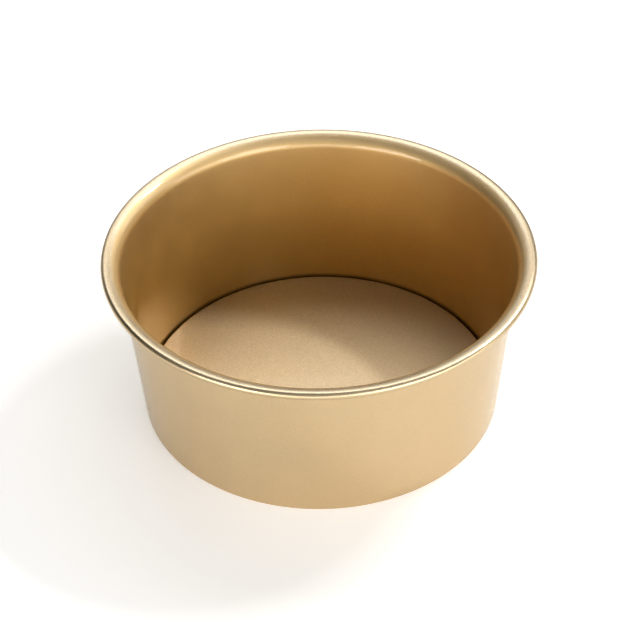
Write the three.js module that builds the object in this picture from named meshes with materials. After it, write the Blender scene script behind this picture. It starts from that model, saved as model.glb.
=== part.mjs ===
// Loose-base cake tin: a leaning steel wall with a flared, curled rim and an in-turned foot,
// and the flat disc that lies loose on that foot and is pushed up to free the cake.
// Millimetres, +Z up, origin on the axis in the plane that the foot stands on.

import * as THREE from 'three';

// Driving dimensions
const SHEET = 0.6; // coated steel sheet of the body
const TIN_HEIGHT = 72; // foot plane to the top of the rim
const FOOT_DIAMETER = 147.2; // outside of the wall, carried down to the foot plane
const WALL_LEAN = 5.4; // degrees that the wall opens upwards
const FOOT_BEND = 0.6; // inside radius of the bend between wall and foot
const LEDGE_WIDTH = 7; // foot's outside to the folded edge of the in-turned ledge
const HEM_SLACK = 0.1; // left between the two layers where the ledge's edge is folded back
const HEM_SETBACK = 1.5; // raw edge of that fold to the bend at the foot
const FLARE_BEND = 5.4; // radius under the bend between wall and rim
const RIM_LAND = 0.2; // level stretch between the flare and the curl
const CURL_BEND = 1; // inside radius of the rolled edge
const CURL_TURN = 240; // degrees that the edge is rolled down and under
const BASE_THICKNESS = 1.2;
const BASE_EDGE_RADIUS = 0.4; // rounding of the base's upper and lower edge
const BASE_PLAY = 1; // radial gap between the base's upper edge and the wall
const FACETS_ROUND = 72; // facets round the axis
const BEND_FACET = 24; // most degrees of bend that one facet spans

const radians = THREE.MathUtils.degToRad;
const lean = radians(WALL_LEAN);

// A rounded corner in the half plane (radius, height), about one centre between two angles.
const corner = (radius, height, from, to) => ({ radius, height, from, to });

// Points along a corner at a given size. The two faces of a bent sheet are two sizes of one corner.
function arc({ radius, height, from, to }, size) {
  const steps = Math.ceil(Math.abs(to - from) / BEND_FACET);
  const points = [];
  for (let i = 0; i <= steps; i += 1) {
    const angle = radians(THREE.MathUtils.lerp(from, to, i / steps));
    points.push(new THREE.Vector2(
      radius + size * Math.cos(angle),
      height + size * Math.sin(angle),
    ));
  }
  return points;
}

// Turns a section about the axis and stands it up along +Z.
function turned(section) {
  return new THREE.LatheGeometry(section, FACETS_ROUND).rotateX(Math.PI / 2);
}

function coating(colour, roughness) {
  return new THREE.MeshStandardMaterial({ color: colour, roughness, metalness: 1 });
}

// Radius of the wall's inner face, carried straight on to any height.
const wallInside = (height) => (
  FOOT_DIAMETER / 2 - SHEET / Math.cos(lean) + height * Math.tan(lean)
);

// The foot's bend lies inside the wall and the flare's bend outside it, both touching its face.
// The ledge's edge is folded back on itself, and the base lies on that fold.
const footHeight = SHEET + FOOT_BEND;
const footCorner = corner(
  wallInside(footHeight) - FOOT_BEND / Math.cos(lean),
  footHeight,
  -90,
  -WALL_LEAN,
);
const hemTop = 2 * SHEET + HEM_SLACK;
const hemCorner = corner(FOOT_DIAMETER / 2 - LEDGE_WIDTH + hemTop / 2, hemTop / 2, 90, 270);
const flareTop = FLARE_BEND + SHEET;
const flareHeight = TIN_HEIGHT - flareTop;
const flareCorner = corner(
  wallInside(flareHeight) + flareTop / Math.cos(lean),
  flareHeight,
  180 - WALL_LEAN,
  90,
);
const curlOutside = CURL_BEND + SHEET;
const curlCorner = corner(
  flareCorner.radius + RIM_LAND,
  TIN_HEIGHT - curlOutside,
  90,
  90 - CURL_TURN,
);

// Body: one sheet. Its outer face runs round the ledge's folded edge, up the wall and round inside
// the curl, and its inner face comes back over the curl and the flare and down to the ledge.
function tinBody() {
  const hemEnd = footCorner.radius - HEM_SETBACK;
  const outerFace = [
    ...arc(hemCorner, hemTop / 2),
    ...arc(footCorner, FOOT_BEND + SHEET),
    ...arc(flareCorner, FLARE_BEND),
    ...arc(curlCorner, CURL_BEND),
  ];
  const innerFace = [
    new THREE.Vector2(hemEnd, hemTop),
    new THREE.Vector2(hemEnd, SHEET),
    ...arc(footCorner, FOOT_BEND),
    ...arc(flareCorner, flareTop),
    ...arc(curlCorner, curlOutside),
  ];
  const section = [...outerFace, ...innerFace.reverse()];
  section.push(section[0].clone());
  const mesh = new THREE.Mesh(turned(section), coating(0xc9ab78, 0.32));
  mesh.name = 'tin_body';
  return mesh;
}

// Base: a flat disc with rounded edges, lying on the fold of the ledge.
function looseBase() {
  const underside = hemTop;
  const topside = underside + BASE_THICKNESS;
  const rounding = Math.min(BASE_EDGE_RADIUS, BASE_THICKNESS / 2);
  const roundingCentre = wallInside(topside) - BASE_PLAY - rounding;
  const section = [
    new THREE.Vector2(0, underside),
    ...arc(corner(roundingCentre, underside + rounding, -90, 0), rounding),
    ...arc(corner(roundingCentre, topside - rounding, 0, 90), rounding),
    new THREE.Vector2(0, topside),
  ];
  const mesh = new THREE.Mesh(turned(section), coating(0xcdb083, 0.3));
  mesh.name = 'loose_base';
  return mesh;
}

const cakeTin = new THREE.Group();
cakeTin.add(tinBody(), looseBase());

export default cakeTin;
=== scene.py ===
import math

import bmesh
import bpy
from mathutils import Matrix, Vector


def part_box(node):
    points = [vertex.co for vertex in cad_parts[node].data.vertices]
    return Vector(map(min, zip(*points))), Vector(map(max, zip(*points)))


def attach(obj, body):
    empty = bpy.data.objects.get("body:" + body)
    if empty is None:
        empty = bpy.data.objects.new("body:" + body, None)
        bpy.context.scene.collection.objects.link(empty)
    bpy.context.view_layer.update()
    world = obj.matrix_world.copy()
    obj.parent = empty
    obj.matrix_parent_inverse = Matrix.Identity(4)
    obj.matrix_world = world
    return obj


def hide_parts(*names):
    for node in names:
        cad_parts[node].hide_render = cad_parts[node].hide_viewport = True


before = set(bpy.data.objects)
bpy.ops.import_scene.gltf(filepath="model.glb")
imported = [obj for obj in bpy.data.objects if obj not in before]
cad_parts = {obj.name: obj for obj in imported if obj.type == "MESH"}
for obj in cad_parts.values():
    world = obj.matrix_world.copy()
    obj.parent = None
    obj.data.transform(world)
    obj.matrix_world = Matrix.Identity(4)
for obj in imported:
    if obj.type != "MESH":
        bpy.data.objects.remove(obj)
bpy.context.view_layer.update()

scene = bpy.context.scene

# Tin body
# One blank of steel sheet, drawn to a leaning wall. Its foot is turned in, with the edge folded back flat,
# to carry the loose base. Its top edge is flared out and rolled under, so that no raw edge meets the hand.
MM = 0.001
sheet = 0.6 * MM
foot_radius = 73.6 * MM  # outside of the wall, carried down to the foot plane
wall_lean = math.radians(5.4)
ledge_width = 7 * MM
hem_thickness = 1.3 * MM  # two layers of sheet, with a little air left between them
hem_end = 71 * MM  # radius at which the fold's raw edge lies
# bends, by the radius of the face that is outside on the wall
foot_bend = 1.2 * MM
flare_bend = 5.4 * MM
curl_bend = 1 * MM
curl_turn = math.radians(240)
raw_edge = 0.15 * MM  # the sheared edges of the sheet, broken by deburring
steps_round = 288

rim_radius = 87.05 * MM  # over the curl
rim_top = 72 * MM
rim_under = rim_top - sheet
ledge_edge = foot_radius - ledge_width
curl_centre = rim_radius - sheet - curl_bend


def wall_outside(height):
    return foot_radius + height * math.tan(wall_lean)


def polyline(points):
    """A bmesh that holds an open line in the XZ plane, and the line's vertices in order."""
    bm = bmesh.new()
    line = [bm.verts.new((x, 0, z)) for x, z in points]
    for start, end in zip(line, line[1:]):
        bm.edges.new((start, end))
    return bm, line


def round_corner(bm, vertex, radius, turn, segments):
    bmesh.ops.bevel(
        bm, geom=[vertex], offset=radius * math.tan(turn / 2), segments=segments,
        profile=0.5, affect="VERTICES", material=-1,
    )


def turn_about_axis(bm, steps):
    same_point = 0.001 * MM
    bmesh.ops.remove_doubles(bm, verts=bm.verts[:], dist=same_point)
    bmesh.ops.spin(
        bm, geom=bm.verts[:] + bm.edges[:], cent=(0, 0, 0), axis=(0, 0, 1),
        angle=math.tau, steps=steps, use_merge=True,
    )
    bmesh.ops.remove_doubles(bm, verts=bm.verts[:], dist=same_point)
    bmesh.ops.recalc_face_normals(bm, faces=bm.faces[:])


def piece_from(bm, name):
    mesh = bpy.data.meshes.new(name)
    bm.to_mesh(mesh)
    bm.free()
    mesh.shade_smooth()
    piece = bpy.data.objects.new(name, mesh)
    scene.collection.objects.link(piece)
    return piece


body_bm, (_, fold_top, fold_under, foot_corner, flare_corner, curl_start) = polyline([
    (hem_end, hem_thickness),
    (ledge_edge, hem_thickness),
    (ledge_edge, 0),
    (foot_radius, 0),
    (wall_outside(rim_under), rim_under),
    (curl_centre, rim_under),
])
bend_turn = math.pi / 2 - wall_lean
for corner in (fold_top, fold_under):
    round_corner(body_bm, corner, hem_thickness / 2, math.pi / 2, segments=6)
round_corner(body_bm, foot_corner, foot_bend, bend_turn, segments=8)
round_corner(body_bm, flare_corner, flare_bend, bend_turn, segments=16)
bmesh.ops.spin(
    body_bm, geom=[curl_start], cent=(curl_centre, 0, rim_under - curl_bend),
    axis=(0, 1, 0), angle=curl_turn, steps=24,
)
# short steps up the wall keep its shading straight right up to the bends
wall_line = max(body_bm.edges, key=lambda edge: edge.calc_length())
bmesh.ops.subdivide_edges(body_bm, edges=[wall_line], cuts=24)
turn_about_axis(body_bm, steps_round)
bmesh.ops.solidify(body_bm, geom=body_bm.faces[:], thickness=-sheet)
bmesh.ops.recalc_face_normals(body_bm, faces=body_bm.faces[:])
sharp = math.radians(60)
sheared = [edge for edge in body_bm.edges if edge.calc_face_angle() > sharp]
bmesh.ops.bevel(
    body_bm, geom=sheared, offset=raw_edge, segments=2, profile=0.5, affect="EDGES", material=-1,
)


def coating_layers(bm):
    """What the coating reads from the mesh: painted sheen and shade in the gold's tint, a painted shade
    factor, and burnish.
    """
    return [bm.verts.layers.float.new(name) for name in ("sheen_shade_depth", "painted_shade_factor", "burnish")]


# The gold's tint is deepest low down inside, as painted shade of light bounced between the gold walls, and
# paler outside and palest on the rim, as painted sheen where the lamps and the white table are mirrored.
# The corner over the ledge is painted dark and the inner wall darker towards its foot, as painted shade.
# Rolling the rim burnishes it.
outside_sheen_depth = 0.22  # against 1 at the foot of the inside
shade_depth_power = 0.2  # the power of the distance from the rim that the depth inside follows
corner_top = 2 * MM
corner_painted_shade = 0.25
wall_foot_painted_shade = 0.75  # painted shade at the wall's foot, fading out by the next height
shade_free_height = 40 * MM
burnish_start = 3 * MM  # distances from the middle of the curl
burnish_full = 1.8 * MM
body_bm.normal_update()
sheen_shade_layer, painted_shade_layer, burnish_layer = coating_layers(body_bm)
for vertex in body_bm.verts:
    radius, height = vertex.co.xy.length, vertex.co.z
    outward = vertex.normal.dot(Vector((vertex.co.x, vertex.co.y, 0)).normalized())
    vertex[sheen_shade_layer] = outside_sheen_depth
    vertex[painted_shade_layer] = 1
    if vertex.normal.z > outward:  # the inside, with the top of the rim
        vertex[sheen_shade_layer] = (max(rim_under - height, 0) / rim_under) ** shade_depth_power
        climb = min(height / shade_free_height, 1)
        wall_painted_shade = wall_foot_painted_shade + (1 - wall_foot_painted_shade) * climb
        vertex[painted_shade_layer] = corner_painted_shade if height < corner_top else wall_painted_shade
    off_curl = math.hypot(radius - curl_centre, height - (rim_under - curl_bend))
    vertex[burnish_layer] = min(max((burnish_start - off_curl) / (burnish_start - burnish_full), 0), 1)
tin_body = piece_from(body_bm, "drawn_tin_body")


def linear(colour):
    """An sRGB hex colour as the linear RGBA that a shader socket takes."""
    channels = [int(colour[i:i + 2], 16) / 255 for i in (1, 3, 5)]
    return [c / 12.92 if c <= 0.04045 else ((c + 0.055) / 1.055) ** 2.4 for c in channels] + [1]


def add(tree, kind, settings=None, sockets=None):
    """Adds a node. A socket's value is a number or colour, or another node's output to link."""
    node = tree.nodes.new(kind)
    for name, value in (settings or {}).items():
        setattr(node, name, value)
    for name, value in (sockets or {}).items():
        if isinstance(value, bpy.types.NodeSocket):
            tree.links.new(value, node.inputs[name])
        else:
            node.inputs[name].default_value = value
    return node


def gold_coating(name, roughness, flake_tilt, film_weight):
    """Champagne-gold non-stick: metal flake in a tinted binder, sprayed on and baked.

    The flake gives a soft satin metal with a faint sparkle and slight clouds where the spray overlaps.
    The binder over it is a thin clear film with a little orange peel. Where the mesh's painted sheen and
    shade value is low, the tint is paler as painted sheen and single flakes stand out more; where it is
    high, the tint is deeper as painted shade. A low painted shade factor darkens it as painted shade, and
    burnish makes it smoother.
    """
    # the pale gold stands in for painted sheen of mirrored lamps, the deep gold for painted shade of light
    # bounced between the gold walls
    sheen_pale_gold = linear("#d8c3a0")
    shaded_deep_gold = linear("#e3b860")
    grazed_gold = linear("#e6d8bc")  # light that grazes the coat passes through more of its tint
    flake_size = 0.3 * MM  # real flakes are finer than a pixel, and these just show their sparkle
    cloud_size = 14 * MM  # from one pass of the spray gun to the next
    peel_size = 1.5 * MM  # from crest to crest
    peel_height = 0.006 * MM
    burnished = -0.22  # change of roughness

    material = bpy.data.materials.new(name)
    material.use_nodes = True
    tree = material.node_tree
    tree.nodes.clear()
    place = add(tree, "ShaderNodeTexCoord").outputs["Object"]
    geometry = add(tree, "ShaderNodeNewGeometry")
    # painted sheen and shade in the tint, and painted shade in the corner and at the wall's foot, come
    # from the mesh
    sheen_shade_fac = add(tree, "ShaderNodeAttribute", {"attribute_name": "sheen_shade_depth"}).outputs["Fac"]
    shade_mask = add(tree, "ShaderNodeAttribute", {"attribute_name": "painted_shade_factor"}).outputs["Fac"]
    burnish = add(tree, "ShaderNodeAttribute", {"attribute_name": "burnish"}).outputs["Fac"]
    # sockets 6 and 7 are the two colours that are mixed, and output 2 is their mix
    tint = add(tree, "ShaderNodeMix", {"data_type": "RGBA"}, {
        "Factor": sheen_shade_fac, 6: sheen_pale_gold, 7: shaded_deep_gold,
    })

    # each flake lies at its own slight tilt and has its own shade
    flakes = add(tree, "ShaderNodeTexVoronoi", None, {"Vector": place, "Scale": 1 / flake_size})
    tilt = add(tree, "ShaderNodeVectorMath", {"operation": "SUBTRACT"}, {
        0: flakes.outputs["Color"], 1: (0.5, 0.5, 0.5),
    })
    tilted = add(tree, "ShaderNodeVectorMath", {"operation": "MULTIPLY_ADD"}, {
        0: tilt.outputs[0], 1: (flake_tilt,) * 3, 2: geometry.outputs["Normal"],
    })
    flake_normal = add(tree, "ShaderNodeVectorMath", {"operation": "NORMALIZE"}, {0: tilted.outputs[0]})
    flake = add(tree, "ShaderNodeSeparateColor", None, {0: flakes.outputs["Color"]})
    contrast = add(tree, "ShaderNodeMapRange", None, {
        "Value": sheen_shade_fac, "From Max": 0.25, "To Min": 0.12, "To Max": 0.03,
    })
    darkest = add(tree, "ShaderNodeMath", {"operation": "SUBTRACT"}, {0: 1.0, 1: contrast.outputs[0]})
    brightest = add(tree, "ShaderNodeMath", {"operation": "ADD"}, {0: 1.0, 1: contrast.outputs[0]})
    flake_shade = add(tree, "ShaderNodeMapRange", None, {
        "Value": flake.outputs[0], "To Min": darkest.outputs[0], "To Max": brightest.outputs[0],
    })

    # the spray gun's passes leave clouds, a little lighter and rougher in places
    clouds = add(tree, "ShaderNodeTexNoise", None, {
        "Vector": place, "Scale": 1 / cloud_size, "Detail": 3.0,
    })
    cloud_shade = add(tree, "ShaderNodeMapRange", None, {
        "Value": clouds.outputs[0], "From Min": 0.3, "From Max": 0.7, "To Min": 0.985, "To Max": 1.015,
    })
    cloud_rough = add(tree, "ShaderNodeMapRange", None, {
        "Value": clouds.outputs[0], "From Min": 0.3, "From Max": 0.7,
        "To Min": roughness - 0.02, "To Max": roughness + 0.02,
    })
    rough = add(tree, "ShaderNodeMath", {"operation": "MULTIPLY_ADD"}, {
        0: burnish, 1: burnished, 2: cloud_rough.outputs[0],
    })
    spray_shade = add(tree, "ShaderNodeMath", {"operation": "MULTIPLY"}, {
        0: flake_shade.outputs[0], 1: cloud_shade.outputs[0],
    })
    # painted shade darkens the corner over the ledge and the foot of the inner wall
    shade = add(tree, "ShaderNodeMath", {"operation": "MULTIPLY"}, {0: spray_shade.outputs[0], 1: shade_mask})
    gold = add(tree, "ShaderNodeVectorMath", {"operation": "SCALE"}, {
        0: tint.outputs[2], "Scale": shade.outputs[0],
    })

    # the binder dries with a little orange peel
    peel = add(tree, "ShaderNodeTexNoise", None, {
        "Vector": place, "Scale": 1 / peel_size, "Detail": 1.0,
    })
    film = add(tree, "ShaderNodeBump", None, {"Height": peel.outputs[0], "Distance": peel_height})

    shader = add(tree, "ShaderNodeBsdfPrincipled", None, {
        "Base Color": gold.outputs[0], "Specular Tint": grazed_gold, "Metallic": 1.0,
        "Roughness": rough.outputs[0], "Normal": flake_normal.outputs[0],
        "Coat Weight": film_weight, "Coat Roughness": 0.1, "Coat Normal": film.outputs[0],
    })
    add(tree, "ShaderNodeOutputMaterial", None, {"Surface": shader.outputs["BSDF"]})
    return material


tin_body.data.materials.append(gold_coating(
    "sprayed_gold_nonstick", roughness=0.56, flake_tilt=0.08, film_weight=1.0,
))
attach(tin_body, "tin")
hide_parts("tin_body")

# Loose base
# A disc punched from steel sheet, pressed flat, deburred and coated like the body.
# It only lies on the folded ledge, with a gap all round, and is pushed up from below to free the cake.
base_low, base_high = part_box("loose_base")
base_edge = 0.4 * MM
flat_edge = base_high.x - 1 * MM  # the flat faces end just short of the rounded edge
base_bm, (_, _, under_edge, top_edge, _, _) = polyline([
    (0, base_low.z), (flat_edge, base_low.z), (base_high.x, base_low.z),
    (base_high.x, base_high.z), (flat_edge, base_high.z), (0, base_high.z),
])
for corner in (under_edge, top_edge):
    round_corner(base_bm, corner, base_edge, math.pi / 2, segments=5)
turn_about_axis(base_bm, steps_round)
# the palest tint all over as painted sheen, no painted shade, and rubbed smooth on the rounded edge
sheen_shade_layer, painted_shade_layer, burnish_layer = coating_layers(base_bm)
for vertex in base_bm.verts:
    vertex[sheen_shade_layer] = 0
    vertex[painted_shade_layer] = 1
    vertex[burnish_layer] = 1 if vertex.co.xy.length > flat_edge + base_edge else 0
loose_base = piece_from(base_bm, "pressed_loose_base")
loose_base.data.materials.append(gold_coating(
    "sprayed_gold_base", roughness=0.58, flake_tilt=0.12, film_weight=0.25,
))
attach(loose_base, "base")
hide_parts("loose_base")

# Studio
# A white table top that fills the view, with softboxes low in front and on the right, and weaker
# panels behind and overhead. A small key light behind the tin on the right throws the rim's shadow
# on the base.
table_radius = 6
floor_bm = bmesh.new()
bmesh.ops.create_circle(floor_bm, cap_ends=True, segments=64, radius=table_radius)
floor = piece_from(floor_bm, "table_top")
paper = bpy.data.materials.new("white_table_top")
paper.use_nodes = True
paper_tree = paper.node_tree
paper_shader = paper_tree.nodes["Principled BSDF"]
paper_shader.inputs["Base Color"].default_value = linear("#f6f5f2")
paper_shader.inputs["Roughness"].default_value = 0.9
# The last step up to white is for the eye, with a little of it in reflections, and lights nothing else.
# It grows to all of the white far away, where the lamps don't reach.
paper_shader.inputs["Emission Color"].default_value = linear("#ffffff")
rays = add(paper_tree, "ShaderNodeLightPath")
mirror_ray = add(paper_tree, "ShaderNodeMath", {"operation": "MAXIMUM"}, {
    0: rays.outputs["Is Glossy Ray"], 1: rays.outputs["Is Transmission Ray"],
})
mirrored = add(paper_tree, "ShaderNodeMath", {"operation": "MULTIPLY"}, {
    0: mirror_ray.outputs[0], 1: 0.14,
})
table_place = add(paper_tree, "ShaderNodeTexCoord").outputs["Object"]
away = add(paper_tree, "ShaderNodeVectorMath", {"operation": "LENGTH"}, {0: table_place})
seen = add(paper_tree, "ShaderNodeMapRange", None, {
    "Value": away.outputs["Value"], "From Min": 0.45, "From Max": 1.2, "To Min": 0.35, "To Max": 1.0,
})
glow = add(paper_tree, "ShaderNodeMath", {"operation": "MULTIPLY_ADD"}, {
    0: rays.outputs["Is Camera Ray"], 1: seen.outputs[0], 2: mirrored.outputs[0],
})
paper_tree.links.new(glow.outputs[0], paper_shader.inputs["Emission Strength"])
floor.data.materials.append(paper)

light_reach = 1.8
tin_middle = Vector((0, 0, 0.04))


def softbox(name, azimuth, elevation, width, height, watts):
    """A soft light that faces the tin. Azimuth runs from +X towards +Y, which is behind the tin."""
    lamp = bpy.data.lights.new(name, "AREA")
    lamp.shape = "RECTANGLE"
    lamp.size = width
    lamp.size_y = height
    lamp.energy = watts
    turn, lift = math.radians(azimuth), math.radians(elevation)
    holder = bpy.data.objects.new(name, lamp)
    holder.location = light_reach * Vector((
        math.cos(lift) * math.cos(turn), math.cos(lift) * math.sin(turn), math.sin(lift),
    ))
    holder.rotation_euler = (tin_middle - holder.location).to_track_quat("-Z", "Y").to_euler()
    holder.visible_camera = False
    scene.collection.objects.link(holder)


softbox("front_left_softbox", 230, 10, 1.2, 0.6, 12.5)
softbox("front_fill", 267, 9, 1.1, 0.55, 4.8)
softbox("front_right_softbox", 305, 14, 1.25, 0.8, 14)
softbox("right_softbox", 340, 14, 0.95, 0.7, 5)
softbox("front_left_strip", 227, 25, 0.5, 0.2, 0.8)
softbox("front_right_strip", 306, 29, 0.5, 0.2, 1.2)
softbox("key_light", 38, 48.5, 0.4, 0.1, 12)
softbox("back_softbox", 88, 55, 1.45, 0.9, 10.5)
softbox("back_right_panel", 20, 28, 1.45, 0.65, 4)
softbox("back_left_panel", 112, 30, 1.5, 0.65, 1.8)
softbox("ceiling_panel", 90, 82, 1.9, 0.9, 1.2)
softbox("front_left_ceiling_panel", 205, 52, 1.2, 0.6, 0.6)
softbox("front_right_ceiling_panel", 290, 58, 1.9, 0.8, 2.4)

# the room is dim, and white only where the camera looks past the table
world = bpy.data.worlds.new("dim_studio")
scene.world = world
world.use_nodes = True
room = world.node_tree.nodes["Background"]
room.inputs["Color"].default_value = linear("#ffffff")
room_rays = add(world.node_tree, "ShaderNodeLightPath")
room_level = add(world.node_tree, "ShaderNodeMapRange", None, {
    "Value": room_rays.outputs["Is Camera Ray"], "To Min": 0.03, "To Max": 1.0,
})
world.node_tree.links.new(room_level.outputs[0], room.inputs["Strength"])

# Camera
# A long lens above the rim, tipped down, with the slight roll of a camera held by hand.
camera_distance = 853.2 * MM  # from the tin's axis, at the height of the curl's middle
camera_height = math.radians(37.57)
camera_pitch = math.radians(39.33)
camera_roll = math.radians(-1.01)
camera_data = bpy.data.cameras.new("photo_camera")
camera_data.lens = 120.1
camera = bpy.data.objects.new("photo_camera", camera_data)
camera.location = (
    0,
    -camera_distance * math.cos(camera_height),
    camera_distance * math.sin(camera_height) + rim_under - curl_bend,
)
camera.rotation_euler = (
    Matrix.Rotation(math.pi / 2 - camera_pitch, 3, "X") @ Matrix.Rotation(camera_roll, 3, "Z")
).to_euler()
scene.collection.objects.link(camera)
scene.camera = camera
scene.view_settings.view_transform = "Standard"
